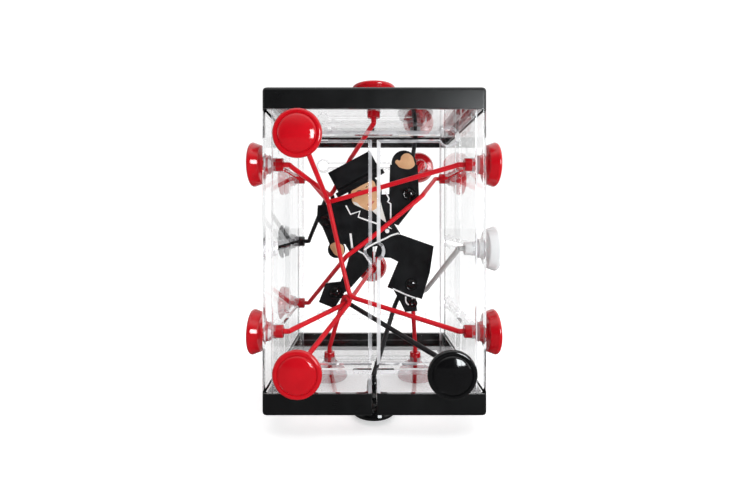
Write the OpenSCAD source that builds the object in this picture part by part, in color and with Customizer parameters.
// Rope puzzle: a clear box with keyholes and slits in every wall, black frames
// at top and bottom, elastic ropes that end in round knobs, and a flat figure
// that the ropes hold inside. +Z is up, +X to the right and -Y faces the viewer.
// The origin lies under the middle, on the surface that the lower knobs rest on.

/* [Case] */
// Width of the case, X
case_w = 91; // [84:1:110]
// Depth of the case, Y
case_d = 91; // [84:1:110]
// Height of the clear walls between the two frames
shell_h = 115.1; // [108:0.1:130]
// Thickness of the clear walls
wall_t = 3; // [2.8:0.1:3.4]
// Thickness of the clear floor and ceiling plates
plate_t = 3.5; // [3:0.1:4.2]
// Outer corner radius in plan
corner_r = 1.6; // [1.2:0.1:5]

/* [Frames] */
// Height of the base frame
base_h = 9.3; // [7:0.1:12]
// Height of the cap frame
cap_h = 9; // [7:0.1:12]
// Thickness of the frame's skirt outside the walls' tongue
skirt_t = 1.6; // [1.2:0.1:1.7]
// Width of the frame's flange over the plates
flange_w = 6; // [5:0.1:7]
// Thickness of the base frame's flange under the floor plate
base_flange = 1.6; // [1.4:0.1:2]
// Thickness of the cap frame's flange over the ceiling plate
cap_flange = 2.4; // [1.8:0.1:3]
// Rounding of the frames' outer edges
frame_bevel = 1.7; // [0.8:0.1:2]
// Gap between pieces that fit into each other
fit_gap = 0.15; // [0.1:0.05:0.2]

/* [Keyholes and slits] */
// Diameter of a keyhole
key_d = 6.3; // [6.2:0.1:6.8]
// Bevel around a keyhole's outer edge
key_bevel = 1.2; // [0.8:0.1:1.5]
// Width of a slit, which a stretched rope passes
slit_w = 2; // [1.6:0.1:2.6]
// Width of the bevel along a slit's outer edges
slit_bevel = 1.4; // [0.8:0.1:1.6]
// Depth of that bevel
slit_depth = 0.9; // [0.6:0.1:1.2]
// Distance of the front and back keyholes from the middle
front_key_x = 30; // [26:0.5:32]
// Height of the front and back walls' lower keyholes above the measuring level
front_key_low = 19; // [18.6:0.1:24]
// Height of the back wall's middle keyhole
back_key_mid = 49; // [44:0.5:56]
// Distance of the front and back walls' upper keyholes below the cap's top
front_key_drop = 20.4; // [19.4:0.1:26]
// Distance of the side keyholes from the middle
side_key_y = 31; // [27:0.5:32]
// Height of the side walls' lower keyholes
side_key_low = 30; // [26:0.1:34]
// Distance of the side walls' upper keyholes below the cap's top
side_key_drop = 29.8; // [26:0.1:34]
// Radius of the circle that the floor's and ceiling's three holes lie on
plate_key_r = 27; // [24:0.5:28]

/* [Knobs and ropes] */
// Diameter of a knob's head
knob_d = 19.4; // [17:0.1:21]
// Height of a knob's crown over the wall
knob_h = 9.6; // [9:0.1:12]
// Height of the head's underside over the wall
knob_under = 3.2; // [2.8:0.1:4]
// Width of the ring around the head's dome
knob_ring = 1.9; // [1.4:0.1:2.4]
// Diameter of a knob's stem
stem_d = 5.7; // [5:0.1:5.8]
// Length of the stem from the wall's outer face to its end inside
stem_in = 6; // [5:0.1:7]
// Diameter of a rope
rope_d = 2.3; // [2:0.05:2.4]
// Straight length of a rope where it leaves a stem
rope_lead = 2.2; // [2:0.1:4]

/* [Figure] */
// Thickness of each of the figure's two plates
fig_t = 2; // [1.6:0.1:2.2]
// How far the back plate's edge stands inside the front plate's
fig_step = 0.8; // [0.4:0.1:1]
// Diameter of a stud's head
stud_d = 6.4; // [5:0.1:7]
// Height of a stud's head
stud_h = 1.3; // [1:0.1:1.6]
// Diameter of a stud's shank
shank_d = 3; // [2.4:0.1:3.4]
// Diameter of the boss behind the figure that a tether leaves
boss_d = 4.4; // [3.8:0.1:5]
// Length of that boss
boss_h = 2.2; // [1.6:0.1:2.4]

/* [Hidden] */
$fn = 48;
// How far the base frame reaches below the level that heights are measured from
base_drop = 0.6;
total_h = base_h - base_drop + shell_h + cap_h;
// Heights of the keyholes that follow the case's height
front_key_mid = total_h / 2 - 0.2;
front_key_high = total_h - front_key_drop;
side_key_high = total_h - side_key_drop;
side_key_mid = (side_key_low + side_key_high) / 2 - 0.2;
floor_bottom = base_flange - base_drop;
floor_top = floor_bottom + plate_t;
ceil_top = total_h - cap_flange;
ceil_bottom = ceil_top - plate_t;
// Height of the measuring level over the surface that the knobs rest on
base_z = knob_h - floor_bottom;
tongue_in = skirt_t + fit_gap;
plate_inset = skirt_t + fit_gap;
cut = 1;

RED = [0.78, 0.05, 0.09];
BLACK = [0.06, 0.06, 0.07];
WHITE = [0.93, 0.93, 0.93];
CLEAR = [0.86, 0.92, 0.94, 0.35];

// Places of the three holes in the floor and the ceiling
plate_key = [for (a = [-90, 30, 150]) [plate_key_r * cos(a), plate_key_r * sin(a)]];

// Routes of the ropes inside the case: X, Y and the height above the measuring
// level. Each begins where its rope leaves the stem's straight lead.
route_front_ul = [[-22.8, -10.8, 89.8], [-22, -8, 87.3], [-21.4, -7.8, 84.6], [-17, -7.7, 65]];
route_right_fl = [[-8.8, -9.3, 40.4], [-11.2, -8.4, 42], [-12.3, -8.2, 45]];
route_left_ru = [[-24.6, 0.6, 90.3], [-22.5, -5, 88], [-20, -6.6, 88.3], [-6, -12.4, 91.8]];
route_top_f = [[-10.4, 1.2, 112], [-11.5, 3.8, 111], [-12.4, 4.3, 109.3], [-15.8, 4.2, 102.8]];
route_left_fu = [[-23.6, 0.3, 92.7], [-22.4, 3.2, 91.9], [-21, 4, 93.2]];
route_left_fl = [[-14.5, -7, 36.9], [-12, -4.6, 38]];
route_back_mid = [[-10.4, 0.8, 39.4]];
route_front_ll = [[-11.8, -8.2, 37.8], [-12.2, -7.1, 39.9]];
route_bottom_rl = [[-15.2, -2.6, 37.6], [-14.4, -4, 39.7]];
route_left_rl = [[-15, -1.7, 58.3], [-12.8, -4.1, 60.9], [-1, -4.2, 69.8]];
route_right_ru = [[26, -1.4, 92.3], [25.2, -3.5, 91.4], [23, -4.1, 89.4]];
route_back_ur = [[12.6, 8.6, 80.8], [12.4, 8, 78], [18, 9.6, 65]];
route_bottom_rr = [[21.8, 10.8, 33], [21.8, 10.6, 36], [23.6, 10.6, 50]];
route_left_rm = [[-26, 11, 88], [-24, 8.8, 91.8], [-22.4, 7.6, 92.6], [-21.2, 6.8, 91], [-21.4, 6.4, 87.5], [-23.6, 6.9, 80]];
route_top_rr = [[18.6, 7.4, 94]];
route_front_lr = [[-10.5, -1.4, 35.2], [-12.6, 0.6, 36], [-14.2, 4, 37], [-18.2, 7.1, 41]];
route_bottom_f = [[10.6, -0.4, 32.8], [11.8, 2.2, 35.2], [13.8, 4.8, 38.6], [18.2, 7.2, 44.8]];
route_right_fm = [[29.2, 2, 44.6], [28.2, 4.7, 42.4], [22, 7, 38]];

// Points where the two strands of one rope meet
meet_front_ul = [-16, -7.7, 60];
meet_left_ru = [-2, -14.1, 92.8];
meet_top_f = [-18, 4.1, 98.6];
meet_left_fl = [-11.2, -1.9, 38.7];
meet_front_ll = [-13.2, -5.6, 40.6];
meet_left_rl = [3, -4.2, 72.9];
meet_back_ur = [21, 10.3, 57.6];

// Outline of the figure in X and the height above the measuring level
torso_pts = [[-16.5, 76], [-15.5, 69], [-11.5, 62], [-1, 65], [5, 66], [14, 72], [9.5, 79], [8.5, 92], [-12, 91], [-20, 87.5]];
arm_low_pts = [[-28.5, 79], [-25.5, 75], [-22, 66.5], [-14, 66.5], [-14, 75], [-19, 87.3], [-28, 86.3]];
arm_high_pts = [[8, 78], [13, 76], [23.6, 89.5], [22.8, 107], [8.8, 107]];
leg_bent_pts = [[1, 60], [9, 59.5], [13, 57.5], [7.5, 44.5], [25, 38.5], [29, 52], [31, 65.5], [14, 71.5], [3, 68]];
shoe_bent_pts = [[13.5, 38], [16.5, 32], [22.5, 32.5], [22, 41], [9.5, 45]];
leg_low_pts = [[-13.5, 55], [-17, 46], [-14, 42], [-11, 44.5], [0, 57], [0, 66.5], [-11, 64]];
shoe_low_pts = [[-15.5, 47.5], [-24, 46.5], [-27.5, 37], [-19.5, 33.8], [-14, 42.5]];
hand_low = [-18.5, 63.8];
hand_high = [15.8, 108];
head_at = [-4, 93];
head_tilt = 28;
// Studs that hold the tethers, and the one behind the heel
stud_at = [[18.5, 92], [-24, 78.5], [19.6, 46], [-19.3, 42]];
heel_at = [20.5, 36.5];

// Places on the walls, each as [point on the outer face, outward direction]
function front_at(x, h) = [[x, -case_d / 2, base_z + h], [0, -1, 0]];
function back_at(x, h) = [[x, case_d / 2, base_z + h], [0, 1, 0]];
function left_at(y, h) = [[-case_w / 2, y, base_z + h], [-1, 0, 0]];
function right_at(y, h) = [[case_w / 2, y, base_z + h], [1, 0, 0]];
function top_at(i) = [[plate_key[i].x, plate_key[i].y, base_z + ceil_top], [0, 0, 1]];
function bottom_at(i) = [[plate_key[i].x, plate_key[i].y, base_z + floor_bottom], [0, 0, -1]];

// Turns +Z to a wall's outward direction and moves to the place
module at(place) {
    d = place[1];
    translate(place[0])
        rotate(d.z == 1 ? [0, 0, 0] : d.z == -1 ? [180, 0, 0] : d.y == -1 ? [90, 0, 0]
            : d.y == 1 ? [-90, 0, 0] : d.x == 1 ? [0, 90, 0] : [0, -90, 0])
            children();
}

// Rounded rectangle in plan
module rounded(w, d, r, h) {
    linear_extrude(h) {
        square([w - 2 * r, d], center = true);
        square([w, d - 2 * r], center = true);
        for (x = [-1, 1], y = [-1, 1]) translate([x * (w / 2 - r), y * (d / 2 - r)]) circle(r);
    }
}

// Case outline moved in by an amount
module outline(inset, h) {
    rounded(case_w - 2 * inset, case_d - 2 * inset, max(corner_r - inset, 1), h);
}

// Round hole with a bevelled outer edge, through a wall of thickness t under z = 0
module key_cut(t) {
    translate([0, 0, -t - cut]) cylinder(d = key_d, h = t + 2 * cut);
    translate([0, 0, -key_bevel]) cylinder(d1 = key_d, d2 = key_d + 2 * (key_bevel + cut), h = key_bevel + cut);
}

// Slit with bevelled outer edges, along +X for a length
module slit_cut(len, t) {
    translate([0, -slit_w / 2, -t - cut]) cube([len, slit_w, t + 2 * cut]);
    rotate([90, 0, 90]) linear_extrude(len)
        polygon([[-slit_w / 2, -slit_depth], [slit_w / 2, -slit_depth],
            [slit_w / 2 + slit_bevel, 0], [slit_w / 2 + slit_bevel, cut],
            [-slit_w / 2 - slit_bevel, cut], [-slit_w / 2 - slit_bevel, 0]]);
}

// Keyholes and slits of the front or the back wall
module face_cuts(side) {
    mid = side < 0 ? front_key_mid : back_key_mid;
    low = side < 0 ? -cut : front_key_low;
    for (h = [front_key_low, front_key_high]) {
        for (x = [-front_key_x, front_key_x]) at(side < 0 ? front_at(x, h) : back_at(x, h)) key_cut(wall_t);
        at(side < 0 ? front_at(-front_key_x, h) : back_at(-front_key_x, h)) slit_cut(2 * front_key_x, wall_t);
    }
    at(side < 0 ? front_at(0, mid) : back_at(0, mid)) key_cut(wall_t);
    at(side < 0 ? front_at(0, low) : back_at(0, front_key_high)) rotate(90) slit_cut(front_key_high - low, wall_t);
}

// Keyholes and slits of both side walls
module side_cuts() {
    for (h = [side_key_low, side_key_mid, side_key_high]) {
        for (y = [-side_key_y, side_key_y]) {
            at(left_at(y, h)) key_cut(wall_t);
            at(right_at(y, h)) key_cut(wall_t);
        }
        at(left_at(-side_key_y, h)) rotate(90) slit_cut(2 * side_key_y, wall_t);
        at(right_at(-side_key_y, h)) rotate(90) slit_cut(2 * side_key_y, wall_t);
    }
}

// One half of the clear walls, with a tongue at top and bottom that the frames hold
module shell_half(side) {
    color(CLEAR) difference() {
        union() {
            translate([0, 0, base_z + base_h - base_drop]) outline(0, shell_h);
            translate([0, 0, base_z + floor_top]) outline(tongue_in, ceil_bottom - floor_top);
        }
        translate([0, 0, base_z]) outline(wall_t, total_h);
        translate([-case_w, side < 0 ? -slit_w / 2 : -case_d + slit_w / 2, 0]) cube([2 * case_w, case_d, 2 * total_h]);
        face_cuts(side);
        side_cuts();
    }
}

// Clear plate with three holes joined by slits; its outer face is the named place's
module clear_plate(low, up) {
    color(CLEAR) difference() {
        translate([0, 0, base_z + low]) outline(plate_inset, plate_t);
        for (i = [0, 1, 2]) at(up ? top_at(i) : bottom_at(i)) key_cut(plate_t);
        at(up ? top_at(2) : bottom_at(2)) slit_cut(plate_key[1].x - plate_key[2].x, plate_t);
        at(up ? top_at(0) : bottom_at(0)) rotate(up ? 90 : -90) slit_cut(plate_key[1].y - plate_key[0].y, plate_t);
        if (!up) at(bottom_at(0)) rotate(90) slit_cut(case_d / 2, plate_t);
    }
}

// Frame with a skirt around the walls and a flange over a plate, its flange upward
module frame(h, flange) {
    difference() {
        hull() for (t = [0:22.5:90]) outline(frame_bevel * (1 - cos(t)), h - frame_bevel * (1 - sin(t)));
        translate([0, 0, -cut]) outline(skirt_t, h - flange + cut);
        outline(flange_w, h + cut);
    }
}

module base_frame() {
    color(BLACK) difference() {
        translate([0, 0, base_z + base_h - base_drop]) mirror([0, 0, 1]) frame(base_h, base_flange);
        translate([-slit_w / 2, -case_d / 2 - cut, base_z - base_drop - cut]) cube([slit_w, flange_w + 2 * cut, base_h + 2 * cut]);
    }
}

module cap_frame() {
    color(BLACK) translate([0, 0, base_z + total_h - cap_h]) frame(cap_h, cap_flange);
}

module floor_plate() { clear_plate(floor_bottom, false); }
module ceiling_plate() { clear_plate(ceil_bottom, true); }
module shell_front() { shell_half(-1); }
module shell_rear() { shell_half(1); }

// Knob with its stem: z = 0 is the wall's outer face, +Z points away from it
module knob(tint) {
    r = knob_d / 2;
    dome_r = r - knob_ring;
    rise = 1.6;
    ball = (dome_r * dome_r + rise * rise) / (2 * rise);
    neck = key_d / 2 - fit_gap;
    color(tint) rotate_extrude($fn = 64)
        polygon(concat(
            [[0, -stem_in], [stem_d / 2 - 0.4, -stem_in], [stem_d / 2, -stem_in + 0.4],
                [stem_d / 2, -key_bevel], [stem_d / 2 + key_bevel, 0], [stem_d / 2 + key_bevel, 0.6],
                [r - 4.6, knob_under - 0.3], [r - 1.7, knob_under], [r - 1.2, knob_under + 0.35],
                [r - 0.1, knob_h - 3.1], [r, knob_h - 2.7], [r - 0.15, knob_h - 2.3], [r - 0.6, knob_h - 1.75], [r - 1.2, knob_h - 1.5],
                [dome_r + 0.25, knob_h - 1.55], [dome_r, knob_h - 1.6 - 0.2]],
            [for (a = [0:1:5]) let (t = asin(dome_r / ball) * (1 - a / 5)) [ball * sin(t), knob_h - ball + ball * cos(t)]]));
}

module knob_at(place, tint) { at(place) knob(tint); }

// Tube swept along points from one of them to another, closed at both ends
function unit(v) = v / norm(v);
function tangent(p, i) = unit(i == 0 ? p[1] - p[0] : i == len(p) - 1 ? p[i] - p[i - 1] : unit(p[i + 1] - p[i]) + unit(p[i] - p[i - 1]));
function across(t, u) = unit(u - t * (u * t));
function frames(p, i, u) = i == len(p) ? [] : let (t = tangent(p, i), v = across(t, u)) concat([[v, cross(t, v)]], frames(p, i + 1, v));
module tube(p, d, from, to, sides = 8) {
    f = frames(p, 0, unit(cross(tangent(p, 0), unit([0.31, 0.52, 0.8]))));
    n = to - from + 1;
    points = [for (i = [from:to], k = [0:sides - 1]) p[i] + (f[i][0] * cos(360 * k / sides) + f[i][1] * sin(360 * k / sides)) * d / 2];
    faces = concat([[for (k = [0:sides - 1]) k]], [[for (k = [sides - 1:-1:0]) (n - 1) * sides + k]],
        [for (i = [0:n - 2], k = [0:sides - 1]) [i * sides + k, (i + 1) * sides + k, (i + 1) * sides + (k + 1) % sides]],
        [for (i = [0:n - 2], k = [0:sides - 1]) [i * sides + k, (i + 1) * sides + (k + 1) % sides, i * sides + (k + 1) % sides]]);
    polyhedron(points, faces);
}

// Raises route points from the measuring level to the object's own frame
function lift(p) = [for (q = p) q + [0, 0, base_z]];
// Stem end of the knob at a place, and the end of the rope's straight lead
function lead(place) = [place[0] - place[1] * stem_in, place[0] - place[1] * (stem_in + rope_lead)];
function whole(place, route, last) = concat(lead(place), lift(route), last);
function turned(p) = [for (i = [len(p) - 1:-1:0]) p[i]];

// One rope between two knobs, cut into two strands where they meet: the near
// strand belongs to place a, the far one to place b
module strand(near, a, route_a, meet, b, route_b) {
    first = whole(a, route_a, lift([meet]));
    p = concat(first, turned(whole(b, route_b, [])));
    m = len(first) - 1;
    color(RED) tube(p, rope_d, near ? 0 : m, near ? m : len(p) - 1);
}
module rope_shoulder(near) { strand(near, front_at(-front_key_x, front_key_high), route_front_ul, meet_front_ul, right_at(-side_key_y, side_key_low), route_right_fl); }
module rope_face(near) { strand(near, left_at(side_key_y, side_key_high), route_left_ru, meet_left_ru, right_at(-side_key_y, side_key_high), []); }
module rope_hat(near) { strand(near, top_at(0), route_top_f, meet_top_f, left_at(-side_key_y, side_key_high), route_left_fu); }
module rope_knee(near) { strand(near, left_at(-side_key_y, side_key_low), route_left_fl, meet_left_fl, back_at(0, back_key_mid), route_back_mid); }
module rope_foot(near) { strand(near, front_at(-front_key_x, front_key_low), route_front_ll, meet_front_ll, bottom_at(2), route_bottom_rl); }
module rope_waist(near) { strand(near, left_at(side_key_y, side_key_low), route_left_rl, meet_left_rl, right_at(side_key_y, side_key_high), route_right_ru); }
module rope_back(near) { strand(near, back_at(front_key_x, front_key_high), route_back_ur, meet_back_ur, bottom_at(1), route_bottom_rr); }

// Tether from a knob to the boss of a stud behind the figure
module tether(place, route, at2d, tint) {
    end = [at2d.x, fig_t + boss_h, base_z + at2d.y];
    p = whole(place, route, [end + [0, rope_d, 0], end]);
    color(tint) tube(p, rope_d, 0, len(p) - 1);
}

// Outline of the figure's head and hat
module head_outline() {
    translate(head_at) rotate(head_tilt) {
        circle(8.6);
        translate([0, -4.4]) circle(6.8);
        translate([-5, -14]) square([10, 10]);
        translate([-13.5, 4]) square([27, 2.4]);
        translate([-12, 6]) square([24, 11.5]);
    }
}

module figure_outline() {
    head_outline();
    for (p = [torso_pts, arm_low_pts, arm_high_pts, leg_bent_pts, shoe_bent_pts, leg_low_pts, shoe_low_pts]) polygon(p);
    translate(hand_low) circle(4.4);
    translate(hand_high) circle(6.2);
}

// Extrudes an outline in X and Z from y to y minus t
module upright(y, t) { translate([0, y, base_z]) rotate([90, 0, 0]) linear_extrude(t) children(); }

module figure_plate(y, inset) {
    upright(y, fig_t) difference() {
        offset(delta = -inset) figure_outline();
        for (s = concat(stud_at, [heel_at])) translate(s) circle(shank_d / 2 + fit_gap);
    }
}

module figure_front() { color(BLACK) upright(0, fig_t) difference() {
    figure_outline();
    for (s = concat(stud_at, [heel_at])) translate(s) circle(shank_d / 2 + fit_gap);
} }
module figure_back() { color(BLACK) figure_plate(fig_t, fig_step); }

// Stud through both plates: a domed head in front and a boss behind
module stud(at2d, domed = true) {
    color(BLACK) translate([at2d.x, 0, base_z + at2d.y]) rotate([90, 0, 0]) rotate_extrude($fn = 32)
        polygon(concat(
            [[0, -fig_t - boss_h], [boss_d / 2 - 0.3, -fig_t - boss_h], [boss_d / 2, -fig_t - boss_h + 0.3],
                [boss_d / 2, -fig_t], [shank_d / 2, -fig_t], [shank_d / 2, fig_t]],
            domed ? [[stud_d / 2, fig_t], [stud_d / 2, fig_t + stud_h * 0.35], [stud_d / 2 - 0.9, fig_t + stud_h * 0.8], [stud_d / 4, fig_t + stud_h], [0, fig_t + stud_h]]
                : [[boss_d / 2, fig_t], [boss_d / 2, fig_t + 0.4], [0, fig_t + 0.4]]));
}

base_frame();
cap_frame();
floor_plate();
ceiling_plate();
shell_front();
shell_rear();
figure_front();
figure_back();
stud(stud_at[0]);  // stud_wrist_high
stud(stud_at[1]);  // stud_wrist_low
stud(stud_at[2]);  // stud_ankle_bent
stud(stud_at[3]);  // stud_ankle_low
stud(heel_at, false);  // stud_heel
knob_at(front_at(-front_key_x, front_key_high), RED);  // knob_front_ul
knob_at(front_at(-front_key_x, front_key_low), RED);  // knob_front_ll
knob_at(front_at(front_key_x, front_key_low), BLACK);  // knob_front_lr
knob_at(left_at(-side_key_y, side_key_high), RED);  // knob_left_fu
knob_at(left_at(-side_key_y, side_key_low), RED);  // knob_left_fl
knob_at(left_at(side_key_y, side_key_high), RED);  // knob_left_ru
knob_at(left_at(side_key_y, side_key_mid), BLACK);  // knob_left_rm
knob_at(left_at(side_key_y, side_key_low), RED);  // knob_left_rl
knob_at(right_at(-side_key_y, side_key_high), RED);  // knob_right_fu
knob_at(right_at(-side_key_y, side_key_mid), WHITE);  // knob_right_fm
knob_at(right_at(-side_key_y, side_key_low), RED);  // knob_right_fl
knob_at(right_at(side_key_y, side_key_high), RED);  // knob_right_ru
knob_at(back_at(front_key_x, front_key_high), RED);  // knob_back_ur
knob_at(back_at(0, back_key_mid), RED);  // knob_back_mid
knob_at(top_at(0), RED);  // knob_top_f
knob_at(top_at(1), BLACK);  // knob_top_rr
knob_at(bottom_at(0), BLACK);  // knob_bottom_f
knob_at(bottom_at(2), RED);  // knob_bottom_rl
knob_at(bottom_at(1), RED);  // knob_bottom_rr
rope_shoulder(true);  // rope_front_ul
rope_foot(true);  // rope_front_ll
tether(front_at(front_key_x, front_key_low), route_front_lr, stud_at[3], BLACK);  // rope_front_lr
rope_hat(false);  // rope_left_fu
rope_knee(true);  // rope_left_fl
rope_face(true);  // rope_left_ru
tether(left_at(side_key_y, side_key_mid), route_left_rm, stud_at[1], BLACK);  // rope_left_rm
rope_waist(true);  // rope_left_rl
rope_face(false);  // rope_right_fu
tether(right_at(-side_key_y, side_key_mid), route_right_fm, heel_at, WHITE);  // rope_right_fm
rope_shoulder(false);  // rope_right_fl
rope_waist(false);  // rope_right_ru
rope_back(true);  // rope_back_ur
rope_knee(false);  // rope_back_mid
rope_hat(true);  // rope_top_f
tether(top_at(1), route_top_rr, stud_at[0], BLACK);  // rope_top_rr
tether(bottom_at(0), route_bottom_f, stud_at[2], BLACK);  // rope_bottom_f
rope_foot(false);  // rope_bottom_rl
rope_back(false);  // rope_bottom_rr
